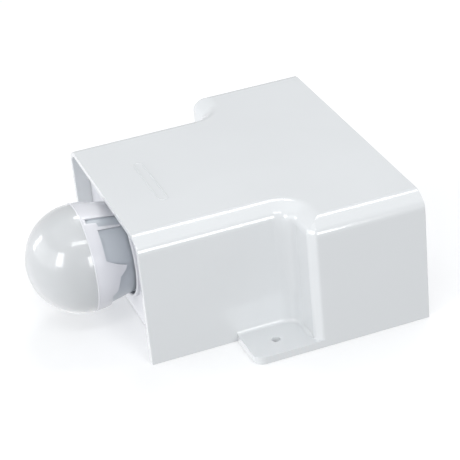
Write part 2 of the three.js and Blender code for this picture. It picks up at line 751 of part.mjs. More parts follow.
// Dial with a spindle at its front and a screwdriver slot across its outer face.
function dial(x) {
  const outside = PANEL_REAR + CONTROL_STAND;
  const spindle = { radius: 1.4, end: CONTROL_BOARD.high + 3 };
  const front = 128;
  const edge = 0.6;
  const profile = [
    [0, spindle.end],
    [spindle.radius, spindle.end],
    [spindle.radius, front],
    [DIAL_RADIUS, front],
    [DIAL_RADIUS, outside - edge],
    [DIAL_RADIUS - edge, outside],
    [0, outside],
  ];
  const knob = turned(profile, MEDIUM_ROUND);
  const slot = block([-0.8, outside - 1.6, -4.6], [0.8, outside + 1, 4.6]);
  return knob.subtract(slot).translate(x, 0, CONTROL_Z);
}

function potentiometer(x) {
  const low = CONTROL_BOARD.high + GAP;
  const body = block([x - 5, low, CONTROL_Z - 5.5], [x + 5, low + 5, CONTROL_Z + 5]);
  return body.subtract(disc(1.8, low + 1.8, low + 6, 0, 12).translate(x, 0, CONTROL_Z));
}

// Round button: a stem at the front, a flange behind the panel and the cap outside it.
function testButton() {
  const stem = 1.8;
  const flange = { radius: 5.2, low: 128.4, high: PANEL_REAR - PANEL - GAP };
  const cap = { radius: 3.8, top: 136.4, edge: 0.6 };
  const profile = [
    [0, BUTTON.stemEnd],
    [stem, BUTTON.stemEnd],
    [stem, flange.low],
    [flange.radius, flange.low],
    [flange.radius, flange.high],
    [cap.radius, flange.high],
    [cap.radius, cap.top - cap.edge],
    [cap.radius - cap.edge, cap.top],
    [0, cap.top],
  ];
  return turned(profile, 18).translate(BUTTON.x, 0, CONTROL_Z);
}

function buttonSwitch() {
  const low = CONTROL_BOARD.high + GAP;
  const tip = BUTTON.stemEnd - GAP - BUTTON.travel;
  const half = 3;
  const body = block([BUTTON.x - half, low, CONTROL_Z - half], [BUTTON.x + half, low + 2, CONTROL_Z + half]);
  return body.add(disc(1.5, low + 1, tip, 0, 12).translate(BUTTON.x, 0, CONTROL_Z));
}

function modeSwitch() {
  const low = CONTROL_BOARD.high + GAP;
  const body = block([SLIDER.x - 8, low, CONTROL_Z - 3.5], [SLIDER.x + 8, low + 7, CONTROL_Z + 3.5]);
  const slotHeight = SLIDER.halfHeight + GAP;
  const slotLow = [SLIDER.x - SLOT_HALF, low + 3, CONTROL_Z - slotHeight];
  const slotHigh = [SLIDER.x + SLOT_HALF, low + 8, CONTROL_Z + slotHeight];
  return body.subtract(block(slotLow, slotHigh));
}

function modeSlider() {
  const { x, halfWidth, halfHeight } = SLIDER;
  const foot = CONTROL_BOARD.high + 4;
  const outside = PANEL_REAR + CONTROL_STAND;
  const lowCorner = [x - halfWidth, foot, CONTROL_Z - halfHeight];
  const highCorner = [x + halfWidth, outside, CONTROL_Z + halfHeight];
  return block(lowCorner, highCorner);
}

// Rubber grommet gripping both faces of the rear panel.
function cableGrommet() {
  const panelFront = PANEL_REAR - PANEL;
  const flange = GROMMET.hole + GROMMET.flange;
  const groove = GROMMET.hole - GAP;
  const profile = [
    [GROMMET.bore, panelFront - 2],
    [flange, panelFront - 1.8],
    [flange, panelFront - GAP],
    [groove, panelFront - GAP],
    [groove, PANEL_REAR + GAP],
    [flange, PANEL_REAR + GAP],
    [flange - 0.6, PANEL_REAR + 2],
    [GROMMET.bore, PANEL_REAR + 2.6],
  ];
  return turned(profile, MEDIUM_ROUND).translate(GROMMET.x, 0, GROMMET.z);
}

// Bar with a round groove for the cable, screwed down on two posts of the base plate.
function cordClamp() {
  const { x: middle, y: centre, halfSpan, halfDepth, thickness, groove } = CLAMP;
  const low = CLAMP_POST.top + GAP;
  const reach = halfSpan + halfDepth;
  const lowCorner = [middle - reach, centre - halfDepth, low];
  const highCorner = [middle + reach, centre + halfDepth, low + thickness];
  const way = disc(groove, centre - 5, centre + 5, 0, 16).translate(middle, 0, low);
  let bar = block(lowCorner, highCorner).subtract(way);
  for (const side of [-1, 1]) {
    bar = bar.subtract(post(middle + side * halfSpan, centre, 1.4, low - 1, low + thickness + 1));
  }
  return bar;
}

function buildControls() {
  const board = block([-64, CONTROL_BOARD.low, CONTROL_Z - 12], [22, CONTROL_BOARD.high, CONTROL_Z + 12]);
  add('control_board', board, boardGreen);
  for (const { name, x } of DIALS) {
    add(`${name}_dial`, dial(x), knobGrey);
    add(`${name}_pot`, potentiometer(x), partBlack);
  }
  add('test_button', testButton(), buttonOrange);
  add('button_switch', buttonSwitch(), partBlack);
  add('mode_slider', modeSlider(), knobGrey);
  add('mode_switch', modeSwitch(), partBlack);
  add('cable_grommet', cableGrommet(), rubber);
  add('cord_clamp', cordClamp(), baffleWhite);
  const screwTop = CLAMP_POST.top + GAP + CLAMP.thickness + GAP + SCREWS.clamp.headHeight;
  for (const side of [-1, 1]) {
    const x = CLAMP.x + side * CLAMP.halfSpan;
    const name = side < 0 ? 'clamp_screw_left' : 'clamp_screw_right';
    add(name, uprightScrew(SCREWS.clamp).translate(x, CLAMP.y, screwTop), steel);
  }
}

// ---------- assembly ----------
add('cover', cover(), coverPlastic);
add('base_plate', basePlate(), panelPlastic);
COVER_BOSSES.forEach(([x, y], index) => {
  const fixing = screw(SCREWS.base).rotate([90, 0, 0]).translate(x, y, 0.2);
  add(`base_screw_${index + 1}`, fixing, steel);
});
add('front_panel', frontPanel(), panelPlastic);
add('rear_panel', rearPanel(), panelPlastic);
buildHead();
buildBearingScrews();
buildMainBoard();
buildControls();

// The footprint runs from the tip of the lens to the rear end.
assembly.position.y = -(HEAD_Y - HEAD_RADIUS + BODY_LENGTH) / 2;

export default assembly;
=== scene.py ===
import json
from math import atan2, cos, degrees, hypot, pi, radians, sin

import bmesh
import bpy
from mathutils import Matrix, Vector

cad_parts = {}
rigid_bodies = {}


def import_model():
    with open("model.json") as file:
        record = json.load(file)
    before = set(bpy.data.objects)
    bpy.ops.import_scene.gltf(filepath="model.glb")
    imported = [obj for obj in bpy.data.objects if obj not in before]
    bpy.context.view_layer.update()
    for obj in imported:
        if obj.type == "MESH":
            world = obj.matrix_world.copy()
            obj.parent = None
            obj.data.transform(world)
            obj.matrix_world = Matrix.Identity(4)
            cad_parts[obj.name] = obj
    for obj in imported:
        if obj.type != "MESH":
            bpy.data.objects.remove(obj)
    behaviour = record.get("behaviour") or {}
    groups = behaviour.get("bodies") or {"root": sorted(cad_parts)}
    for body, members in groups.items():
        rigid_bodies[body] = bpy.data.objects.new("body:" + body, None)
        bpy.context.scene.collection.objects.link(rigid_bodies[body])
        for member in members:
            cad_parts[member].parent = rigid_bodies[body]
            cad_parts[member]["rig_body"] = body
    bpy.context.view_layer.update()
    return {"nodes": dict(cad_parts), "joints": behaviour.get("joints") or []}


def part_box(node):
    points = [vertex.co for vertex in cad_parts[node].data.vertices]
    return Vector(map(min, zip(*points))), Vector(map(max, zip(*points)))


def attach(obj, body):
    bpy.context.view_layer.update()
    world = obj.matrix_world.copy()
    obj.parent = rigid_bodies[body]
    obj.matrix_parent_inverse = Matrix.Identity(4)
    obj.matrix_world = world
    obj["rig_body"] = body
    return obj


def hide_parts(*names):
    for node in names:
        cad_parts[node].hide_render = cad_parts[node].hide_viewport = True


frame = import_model()
mm = 0.001

# Pieces are drawn in millimetres from the middle of the cover's open mouth, at floor level.
coverLow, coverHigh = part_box("cover")
mouth = Vector((0, coverLow.y, 0))
bodyLength = (coverHigh.y - coverLow.y) / mm
barHalf = coverHigh.x / mm
bodyHeight = coverHigh.z / mm
headJoint = next(joint for joint in frame["joints"] if joint["name"] == "head_turn")
headHeight = headJoint["pos_m"][2] / mm
lensLow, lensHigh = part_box("lens_dome")
lensRadius = (lensHigh.z - lensLow.z) / 2 / mm
lensCentre = (lensLow.y - mouth.y) / mm + lensRadius


def fromMouth(node):
    low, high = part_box(node)
    return (low - mouth) / mm, (high - mouth) / mm


def middleOf(node):
    low, high = fromMouth(node)
    return (low + high) / 2


# ---- mesh helpers

def arc(x, y, radius, start, end, steps):
    angles = [radians(start + (end - start) * i / steps) for i in range(steps + 1)]
    return [(x + radius * cos(a), y + radius * sin(a)) for a in angles]


# A smooth bend from start to end that leaves along the lines to a corner.
def curved(start, corner, end, steps=5):
    points = []
    for i in range(steps + 1):
        t = i / steps
        weights = ((1 - t) ** 2, 2 * t * (1 - t), t * t)
        points.append(tuple(sum(w * p[k] for w, p in zip(weights, (start, corner, end))) for k in (0, 1)))
    return points


# A full circle whose last point stops one step short of its first.
def circle(x, y, radius, sides):
    return arc(x, y, radius, 0, 360 * (sides - 1) / sides, sides - 1)


def addChain(bm, points, closed=False):
    verts = [bm.verts.new(point) for point in points]
    ends = verts[1:] + verts[:1] if closed else verts[1:]
    return [bm.edges.new(pair) for pair in zip(verts, ends)]


def bridgeChains(bm, chains, closed=False):
    following = chains[1:] + chains[:1] if closed else chains[1:]
    for first, second in zip(chains, following):
        bmesh.ops.bridge_loops(bm, edges=first + second)


def fillEnds(bm):
    bmesh.ops.holes_fill(bm, edges=[edge for edge in bm.edges if edge.is_boundary], sides=0)
    bmesh.ops.recalc_face_normals(bm, faces=bm.faces)


softening = {"segments": 2, "sharperThan": 50}


def softenEdges(bm, width, wanted=None):
    limit = radians(softening["sharperThan"])
    sharp = [edge for edge in bm.edges if edge.is_manifold and edge.calc_face_angle() > limit]
    if wanted:
        sharp = [edge for edge in sharp if wanted(edge)]
    bmesh.ops.bevel(bm, geom=sharp, offset=width, offset_type="OFFSET", affect="EDGES",
                    segments=softening["segments"], profile=0.5, material=-1, clamp_overlap=True)


# A flat plate in X and Y with holes, between two heights.
def addPlate(bm, outline, holes, low, high):
    rims = []
    for level in (low, high):
        loops = [addChain(bm, [(x, y, level) for x, y in loop], closed=True) for loop in (outline, *holes)]
        bmesh.ops.triangle_fill(bm, edges=[edge for loop in loops for edge in loop], use_beauty=True)
        rims.append(loops)
    for lower, upper in zip(*rims):
        bmesh.ops.bridge_loops(bm, edges=lower + upper)
    bmesh.ops.recalc_face_normals(bm, faces=bm.faces)


mergeDistance = 1e-4


# A body turned about the Y axis from (radius, y) points.
def turned(profile, steps):
    bm = bmesh.new()
    chain = addChain(bm, [(radius, y, 0) for radius, y in profile], closed=profile[0][0] > 0)
    bmesh.ops.spin(bm, geom=bm.verts[:] + chain, cent=(0, 0, 0), axis=(0, 1, 0), angle=2 * pi,
                   steps=steps, use_merge=True)
    bmesh.ops.remove_doubles(bm, verts=bm.verts, dist=mergeDistance)
    bmesh.ops.recalc_face_normals(bm, faces=bm.faces)
    return bm


def addBox(bm, low, high):
    made = bmesh.ops.create_cube(bm, size=1)["verts"]
    size = [b - a for a, b in zip(low, high)]
    middle = [(a + b) / 2 for a, b in zip(low, high)]
    bmesh.ops.scale(bm, vec=size, verts=made)
    bmesh.ops.translate(bm, vec=middle, verts=made)
    return made


smoothBelow = 34


def shadeSmoothly(piece):
    piece.data.shade_smooth()
    piece.data.set_sharp_from_angle(angle=radians(smoothBelow))
    weighted = piece.modifiers.new("flatFaces", "WEIGHTED_NORMAL")
    weighted.keep_sharp = True


def linkMesh(name, bm):
    mesh = bpy.data.meshes.new(name)
    bm.to_mesh(mesh)
    bm.free()
    made = bpy.data.objects.new(name, mesh)
    bpy.context.scene.collection.objects.link(made)
    return made


# An object from millimetres about a point that is itself measured from the mouth.
def makeObject(name, bm, at=(0, 0, 0)):
    bm.transform(Matrix.Translation(mouth) @ Matrix.Scale(mm, 4) @ Matrix.Translation(at))
    return linkMesh(name, bm)


# Joins or cuts one mesh with another, and keeps only the result.
def combine(piece, other, operation):
    step = piece.modifiers.new(operation, "BOOLEAN")
    step.solver = "EXACT"
    step.operation = operation
    step.object = other
    depsgraph = bpy.context.evaluated_depsgraph_get()
    piece.data = bpy.data.meshes.new_from_object(piece.evaluated_get(depsgraph))
    piece.modifiers.clear()
    bpy.data.objects.remove(other)


def finishPiece(piece, body, slotName, material, *nodes):
    piece.data.materials.clear()
    piece.data.materials.append(material)
    shadeSmoothly(piece)
    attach(piece, body)
    if nodes:
        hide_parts(*nodes)


# ---- materials

def srgb(code):
    values = [int(code[i:i + 2], 16) / 255 for i in (1, 3, 5)]
    return tuple(v / 12.92 if v <= 0.04045 else ((v + 0.055) / 1.055) ** 2.4 for v in values) + (1,)


def newMaterial(name, **settings):
    material = bpy.data.materials.new(name)
    material.use_nodes = True
    shader = material.node_tree.nodes["Principled BSDF"]
    for socket, value in settings.items():
        shader.inputs[socket.replace("_", " ")].default_value = value
    return material


def addNode(owner, kind, settings, **links):
    node = owner.node_tree.nodes.new(kind)
    for name, value in settings.items():
        if name in node.inputs:
            node.inputs[name].default_value = value
        else:
            setattr(node, name, value)
    for socket, source in links.items():
        owner.node_tree.links.new(source, node.inputs[socket.replace("_", " ")])
    return node


patternShape = {"toneEdges": (0.35, 0.65), "cloudDetail": 3, "grainDetail": 2, "reliefStrength": 0.6}


# Two close tones in patches, a spread of roughness, and a fine relief. The sizes are millimetres.
def dressSurface(material, tones, patch, gloss, grain, relief):
    p = patternShape
    place = addNode(material, "ShaderNodeTexCoord", {})
    shader = material.node_tree.nodes["Principled BSDF"]
    cloud = addNode(material, "ShaderNodeTexNoise", {"Scale": 1 / (patch * mm), "Detail": p["cloudDetail"]},
                    Vector=place.outputs["Object"])
    ramp = addNode(material, "ShaderNodeValToRGB", {}, Fac=cloud.outputs["Fac"])
    for element, edge, tone in zip(ramp.color_ramp.elements, p["toneEdges"], tones):
        element.position = edge
        element.color = srgb(tone)
    spread = addNode(material, "ShaderNodeMapRange", {"To Min": gloss[0], "To Max": gloss[1]},
                     Value=cloud.outputs["Fac"])
    fine = addNode(material, "ShaderNodeTexNoise", {"Scale": 1 / (grain * mm), "Detail": p["grainDetail"]},
                   Vector=place.outputs["Object"])
    bump = addNode(material, "ShaderNodeBump", {"Strength": p["reliefStrength"], "Distance": relief * mm},
                   Height=fine.outputs["Fac"])
    links = material.node_tree.links
    links.new(ramp.outputs["Color"], shader.inputs["Base Color"])
    links.new(spread.outputs["Result"], shader.inputs["Roughness"])
    links.new(bump.outputs["Normal"], shader.inputs["Normal"])
    return material


# ABS from a polished mould: bright, sharp lines of light along the edges, with a faint orange peel.
glossyAbs = dressSurface(
    newMaterial("moulded_glossy_abs", IOR=1.53, Coat_Weight=0.7, Coat_Roughness=0.05, Coat_IOR=1.55),
    ("#d9dcde", "#dbdee0"), 60, (0.16, 0.24), 5, 0.01)
# The same ABS from a satin mould, for the end panels and the collar: softer light, a little cooler in tone.
satinAbs = dressSurface(newMaterial("moulded_satin_abs", IOR=1.53), ("#dadbe0", "#dcdde2"), 40,
                        (0.2, 0.28), 0.8, 0.01)
# ABS with a grey-blue pigment and soft highlights. Its tone is set darker than the cover partly as painted
# shade, standing for the shadow the cover's roof casts on the barrel.
greyBlueAbsWithPaintedShade = dressSurface(newMaterial("grey_blue_abs_with_painted_shade", IOR=1.53), ("#bbc1c8", "#c0c6cc"), 25,
                       (0.3, 0.42), 0.8, 0.01)
# Polyethylene lens moulding: cloudy in the wall, polished outside, so it glows and still mirrors lamps.
milkyPolyethylene = dressSurface(
    newMaterial("milky_moulded_polyethylene", IOR=1.5, Transmission_Weight=0.35, Coat_Weight=1.0,
                Coat_Roughness=0.03, Coat_IOR=1.5, Sheen_Weight=0.8, Sheen_Roughness=0.25),
    ("#e3e6e8", "#e6e9eb"), 30, (0.3, 0.38), 6, 0.006)
# Nylon: dull white, slightly waxy.
whiteNylon = dressSurface(newMaterial("moulded_white_nylon", IOR=1.53), ("#e8e8e4", "#ededea"), 15,
                          (0.42, 0.55), 0.6, 0.02)
# Soft rubber: near black with a dusty bloom.
blackRubber = dressSurface(newMaterial("moulded_black_rubber", IOR=1.52), ("#232426", "#2e2f31"), 6,
                           (0.6, 0.8), 0.5, 0.04)
# Zinc plated steel: bright, faintly mottled where the plating crystallised.
zincSteel = dressSurface(newMaterial("zinc_plated_steel", Metallic=1.0), ("#b4b8bd", "#c6c9cc"), 2,
                         (0.24, 0.38), 0.4, 0.01)
# Turned brass: warm yellow metal that has lost its first shine.
plainBrass = dressSurface(newMaterial("turned_brass", Metallic=1.0), ("#c29f50", "#cfae62"), 3,
                          (0.25, 0.4), 0.3, 0.01)
# Glass epoxy board under green solder mask: even green with a trace of the weave.
boardLaminate = dressSurface(newMaterial("solder_masked_glass_epoxy", IOR=1.55), ("#235c38", "#2c6a42"), 5,
                             (0.25, 0.4), 0.6, 0.02)
# Epoxy moulded round components: near black and fine grained, with a dull sheen.
blackResin = dressSurface(newMaterial("moulded_black_epoxy", IOR=1.55), ("#202224", "#2a2c2f"), 3,
                          (0.4, 0.55), 0.3, 0.02)
# Polyester case of the relay and the surge absorber: even blue with a soft shine.
bluePolyester = dressSurface(newMaterial("moulded_blue_polyester", IOR=1.55), ("#2a5792", "#31629f"), 4,
                             (0.3, 0.42), 0.4, 0.01)
# Polyester tape wound round the transformer: smooth yellow with a film's shine.
yellowTape = dressSurface(newMaterial("yellow_polyester_tape", IOR=1.6), ("#d0a52f", "#dcb548"), 4,
                          (0.25, 0.4), 0.5, 0.02)
# Mid-grey ABS of the dials and the slider: satin, so the slots read as dark lines.
knobAbs = dressSurface(newMaterial("moulded_grey_abs", IOR=1.53), ("#868d95", "#90979f"), 8,
                       (0.35, 0.48), 0.5, 0.02)
# Orange ABS of the test button: the one strong colour, with soft highlights.
orangeAbs = dressSurface(newMaterial("moulded_orange_abs", IOR=1.53), ("#d16227", "#da6c30"), 8,
                         (0.3, 0.42), 0.5, 0.01)
# Extruded PVC cable sheath: plain grey and rather dull.
greySheath = dressSurface(newMaterial("extruded_grey_pvc", IOR=1.53), ("#949aa0", "#9ea4a9"), 5,
                          (0.45, 0.6), 0.5, 0.02)
# Cast clear resin: see-through with sharp highlights.
clearEpoxy = dressSurface(
    newMaterial("cast_clear_epoxy", IOR=1.55, Transmission_Weight=0.9), ("#e3ebec", "#eaf1f1"), 3,
    (0.04, 0.08), 0.5, 0.005)
# Matt painted board that gives off a little light, so that it stays nearly white under a faint shadow.
paleFloor = newMaterial("pale_floor", Base_Color=srgb("#d6d7d8"), Roughness=0.8,
                        Emission_Color=srgb("#ffffff"), Emission_Strength=0.3)
print("materials ready")


# ---- cover

coverShape = {
    "stemHalf": 58.6, "notch": 78.0, "wall": 3.2, "notchRadius": 9.0, "barRadius": 4.8,
    "filletIn": 7.0, "filletDown": 5.2, "shoulder": 3.0, "cornerSteps": 18, "rim": 0.6,
    "innerFilletIn": 4.0, "innerFilletDown": 2.8, "innerShoulder": 0.8,
    "leastCorner": 0.6, "cornerBend": 0.24, "cornerLean": 0.7, "spacing": 0.05, "endTolerance": 0.001,
}


# Part of a circle about the middle of the notch's concave corner.
def notchArc(radius, start, end, steps):
    c = coverShape
    return arc(c["stemHalf"] + c["notchRadius"], c["notch"] - c["notchRadius"], radius, start, end, steps)


# Plan of the right-hand wall from the mouth to the rear, moved inwards by an inset.
def wallChain(inset, height):
    c = coverShape
    stem = c["stemHalf"] - inset
    bar = barHalf - inset
    line = c["notch"] + inset
    outer = max(c["barRadius"] - inset, c["leastCorner"])
    bend = outer * c["cornerBend"]
    lean = bend * c["cornerLean"]
    points = [(stem, 0)]
    points += notchArc(c["notchRadius"] + inset, 180, 90, c["cornerSteps"])
    start, finish = bar - outer, line + outer
    points += curved((start, line), (start + bend, line), (start + bend + lean, line + lean))
    points += curved((bar - lean, finish - bend - lean), (bar, finish - bend), (bar, finish))
    points.append((bar, bodyLength))
    return [(x, y, height) for x, y in points]


# The same points on the middle line, kept apart where the wall runs straight across.
def middleLine(points):
    places = []
    for point in points:
        places.append(max(point[1], places[-1] + coverShape["spacing"]) if places else point[1])
    return [(0, y, points[0][2]) for y in places]


# Section of the upper edge: a slanting flat between two tight shoulders.
def filletSection(inset, top, across, down, shoulder):
    slope = hypot(across, down)
    along = (across * shoulder / slope, down * shoulder / slope)
    low = curved((inset, top - down - shoulder), (inset, top - down),
                 (inset + along[0], top - down + along[1]))
    high = curved((inset + across - along[0], top - along[1]), (inset + across, top),
                  (inset + across + shoulder, top))
    return low + high


def coverShell():
    c = coverShape
    outside = [(0, 0)] + filletSection(0, bodyHeight, c["filletIn"], c["filletDown"], c["shoulder"])
    inside = [(c["wall"], 0)] + filletSection(c["wall"], bodyHeight - c["wall"], c["innerFilletIn"],
                                              c["innerFilletDown"], c["innerShoulder"])
    bm = bmesh.new()
    outerChains = [addChain(bm, wallChain(inset, z)) for inset, z in outside]
    innerChains = [addChain(bm, wallChain(inset, z)) for inset, z in inside]
    outerChains.append(addChain(bm, middleLine(wallChain(*outside[-1]))))
    innerChains.append(addChain(bm, middleLine(wallChain(*inside[-1]))))
    bridgeChains(bm, outerChains)
    bridgeChains(bm, innerChains)
    bmesh.ops.bridge_loops(bm, edges=outerChains[0] + innerChains[0])
    bmesh.ops.mirror(bm, geom=bm.verts[:] + bm.edges[:] + bm.faces[:], matrix=Matrix.Identity(4),
                     merge_dist=mergeDistance, axis="X")
    fillEnds(bm)

    def atEnd(edge):
        gaps = [min(abs(vert.co.y), abs(vert.co.y - bodyLength)) for vert in edge.verts]
        return max(gaps) < c["endTolerance"]

    softenEdges(bm, c["rim"], wanted=atEnd)
    return makeObject("cover_moulding", bm)


# The lift keeps the tab's underside and rear off the cover's own faces.
tabShape = {
    "front": 45.5, "thickness": 3.9, "corner": 5.5, "cornerSteps": 14, "innerSteps": 10, "overlap": 1.6,
    "lift": 0.03, "rim": 0.5, "holeX": 72.0, "holeY": 61.0, "holeRadius": 2.25, "holeSides": 32,
    "cove": 1.8, "coveSteps": 8, "coveDepth": 1.0, "taper": 2.5, "tipOut": 0.2, "tipDown": 0.5,
    "tipScale": 0.1, "clearOfStem": 1.0, "clearOfBar": 2.0,
}


def tabPlate():
    c, t = coverShape, tabShape
    edge = c["notch"] + t["overlap"]
    outline = [(c["stemHalf"] - t["overlap"], t["front"])]
    outline += arc(barHalf - t["corner"], t["front"] + t["corner"], t["corner"], -90, 0, t["cornerSteps"])
    rear = c["notch"] + c["barRadius"] - t["lift"]
    outline += [(barHalf, rear), (barHalf - t["overlap"], rear)]
    outline += [(barHalf - c["barRadius"], edge)]
    outline += notchArc(c["notchRadius"] + t["overlap"], 90, 180, t["innerSteps"])
    hole = circle(t["holeX"], t["holeY"], t["holeRadius"], t["holeSides"])
    bm = bmesh.new()
    addPlate(bm, outline, [hole], t["lift"], t["thickness"])

    def clearOfWalls(rim):
        nearest = min(vert.co.x for vert in rim.verts)
        furthest = max(vert.co.y for vert in rim.verts)
        return nearest > c["stemHalf"] + t["clearOfStem"] and furthest < edge - t["clearOfBar"]

    softenEdges(bm, t["rim"], wanted=clearOfWalls)
    return makeObject("tab", bm)


# The small concave radius where the tab meets the walls: a closed strip that tapers away at its end.
def tabCove():
    c, t = coverShape, tabShape
    low, top = t["thickness"], t["thickness"] + t["cove"]
    buried = low - t["coveDepth"]
    hollow = arc(t["cove"], top, t["cove"], 180, 270, t["coveSteps"])
    section = [(-t["coveDepth"], buried), (-t["coveDepth"], top)] + hollow + [(t["cove"], buried)]
    end = barHalf - c["barRadius"]
    bm = bmesh.new()
    chains = []
    for away, z in section:
        points = [(c["stemHalf"] + away, t["front"], z)]
        points += [(x, y, z) for x, y in notchArc(c["notchRadius"] - away, 180, 90, c["cornerSteps"])]
        points.append((end - t["taper"], c["notch"] - away, z))
        points.append((end, c["notch"] + t["tipOut"] - away * t["tipScale"],
                       low - t["tipDown"] + (z - low) * t["tipScale"]))
        chains.append(addChain(bm, points))
    bridgeChains(bm, chains, closed=True)
    fillEnds(bm)
    return makeObject("cove", bm)


def mirrored(piece):
    bm = bmesh.new()
    bm.from_mesh(piece.data)
    bmesh.ops.scale(bm, vec=(-1, 1, 1), verts=bm.verts)
    bmesh.ops.reverse_faces(bm, faces=bm.faces)
    return linkMesh("mirror", bm)


# A plain raised outline on the top face.
markShape = {"x": 2.0, "y": 26.0, "half": 22.5, "end": 2.6, "endSteps": 12, "line": 0.7, "stand": 0.25,
             "buried": 0.5, "rim": 0.12}


def plainMark():
    m = markShape
    straight = m["half"] - m["end"]

    def outline(radius):
        right = arc(m["x"] + straight, m["y"], radius, -90, 90, m["endSteps"])
        return right + arc(m["x"] - straight, m["y"], radius, 90, 270, m["endSteps"])

    bm = bmesh.new()
    addPlate(bm, outline(m["end"]), [outline(m["end"] - m["line"])], bodyHeight - m["buried"],
             bodyHeight + m["stand"])
    softenEdges(bm, m["rim"])
    return makeObject("plain_mark", bm)


def buildCover():
    cover = coverShell()
    tab = tabPlate()
    combine(tab, tabCove(), "UNION")
    combine(cover, mirrored(tab), "UNION")
    combine(cover, tab, "UNION")
    combine(cover, plainMark(), "UNION")
    finishPiece(cover, "housing", "cover_white", glossyAbs, "cover")
    print("cover built")


# ---- end panels

panelShape = {"corner": 4.3, "cornerSteps": 8}


# Both panels follow the cover's inside, with rounded upper corners.
def archedOutline(low, high):
    corner, steps = panelShape["corner"], panelShape["cornerSteps"]
    half, top = high.x, high.z
    points = [(-half, low.z), (half, low.z)]
    points += arc(half - corner, top - corner, corner, 0, 90, steps)
    points += arc(-half + corner, top - corner, corner, 90, 180, steps)
    return points


frontShape = {"thickness": 3.0, "ringOverlap": 5.6, "bezelWidth": 1.5, "bezelRound": 0.5, "holeSides": 96}


def buildFrontPanel():
    p = frontShape
    low, high = fromMouth("front_panel")
    hole = (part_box("bearing_ring")[1].x / mm) - p["ringOverlap"]
    face, back = high.y - p["thickness"], high.y
    lip = low.y
    outer = hole + p["bezelWidth"]
    bm = bmesh.new()
    outline = archedOutline(low, high)
    bend = p["bezelRound"]
    bezel = [(outer, face), (outer, lip + bend), (outer - bend, lip),
             (hole + bend, lip), (hole, lip + bend), (hole, back)]
    rings = []
    for radius, y in bezel:
        ring = circle(0, headHeight, radius, p["holeSides"])
        rings.append(addChain(bm, [(x, y, z) for x, z in ring], closed=True))
    bridgeChains(bm, rings)
    outlines = [addChain(bm, [(x, y, z) for x, z in outline], closed=True) for y in (face, back)]
    bmesh.ops.triangle_fill(bm, edges=outlines[0] + rings[0], use_beauty=True)
    bmesh.ops.triangle_fill(bm, edges=outlines[1] + rings[-1], use_beauty=True)
    bmesh.ops.bridge_loops(bm, edges=outlines[0] + outlines[1])
    bmesh.ops.recalc_face_normals(bm, faces=bm.faces)
    panel = makeObject("front_panel_moulding", bm)
    finishPiece(panel, "housing", "panel_white", satinAbs, "front_panel")
    print("front panel built")


dialNames = ("time_dial", "light_dial", "range_dial")
rearShape = {"rim": 0.3, "dialGap": 0.4, "buttonHole": 4.2, "cableHole": 8.0, "slotAcross": 5.4,
             "slotUp": 2.1, "holeSides": 48}


def buildRearPanel():
    p = rearShape
    low, high = fromMouth("rear_panel")
    dials = [fromMouth(name) for name in dialNames]
    holes = []
    for dialLow, dialHigh in dials:
        middle = (dialLow + dialHigh) / 2
        holes.append(circle(middle.x, middle.z, (dialHigh.x - dialLow.x) / 2 + p["dialGap"], p["holeSides"]))
    button = middleOf("test_button")
    holes.append(circle(button.x, button.z, p["buttonHole"], p["holeSides"]))
    cable = middleOf("cable_grommet")
    holes.append(circle(cable.x, cable.z, p["cableHole"], p["holeSides"]))
    slider = middleOf("mode_slider")
    left, right = slider.x - p["slotAcross"], slider.x + p["slotAcross"]
    under, over = slider.z - p["slotUp"], slider.z + p["slotUp"]
    holes.append([(left, under), (right, under), (right, over), (left, over)])
    bm = bmesh.new()
    addPlate(bm, archedOutline(low, high), holes, low.y, high.y)
    softenEdges(bm, p["rim"])
    # The plate is drawn lying down; swapping Y and Z stands it up.
    upright = Matrix(((1, 0, 0, 0), (0, 0, 1, 0), (0, 1, 0, 0), (0, 0, 0, 1)))
    bmesh.ops.transform(bm, matrix=upright, verts=bm.verts)
    bmesh.ops.recalc_face_normals(bm, faces=bm.faces)
    panel = makeObject("rear_panel_moulding", bm)
    finishPiece(panel, "housing", "panel_white", satinAbs, "rear_panel")
    buildDialMarks(dials, high.y)
    print("rear panel built")


tickShape = {"count": 11, "sweep": 270, "gap": 1.6, "length": 1.8, "width": 0.5, "stand": 0.15,
             "buried": 0.05}


# Moulded ticks round each dial.
def buildDialMarks(dials, face):
    m = tickShape
    bm = bmesh.new()
    for dialLow, dialHigh in dials:
        middle = (dialLow + dialHigh) / 2
        inner = (dialHigh.x - dialLow.x) / 2 + m["gap"]
        for i in range(m["count"]):
            made = addBox(bm, (inner, face - m["buried"], -m["width"] / 2),
                          (inner + m["length"], face + m["stand"], m["width"] / 2))
            angle = radians(90 - m["sweep"] / 2 + m["sweep"] * i / (m["count"] - 1))
            bmesh.ops.rotate(bm, cent=(0, 0, 0), matrix=Matrix.Rotation(-angle, 3, "Y"), verts=made)
            bmesh.ops.translate(bm, vec=(middle.x, 0, middle.z), verts=made)
    marks = makeObject("dial_ticks", bm)
    finishPiece(marks, "housing", "knob_grey", knobAbs)


# ---- sensor head, about the Y axis

headShape = {"taper": 0.2, "taperFrom": -9.8, "taperRadius": 27.8, "collarProud": 0.2}

# Rear edge of the collar: degrees round the axis from level (0) to the top (90), and millimetres from
# the mouth.
collarEdge = ((-90, -6.8), (-27, -6.8), (-22, -4.2), (-20, -3.7), (-3, -1.9), (4, 1.5), (9, 2.4), (13, -2.5),
              (18, -6.5), (20, -8), (54, -8), (55, 4.4), (57, 4.4), (58, -7), (63, -7.4), (64, -12.4),
              (70, -12.4), (71, 4.4), (90, 4.4))


# Radius of the collar's outside at a distance from the mouth.
def headRadius(y):
    h = headShape
    shoulder = h["taperRadius"] + h["collarProud"]
    if y < h["taperFrom"]:
        share = (y - lensCentre) / (h["taperFrom"] - lensCentre)
        return lensRadius + (shoulder - lensRadius) * share
    return shoulder - h["taper"] * (y - h["taperFrom"])


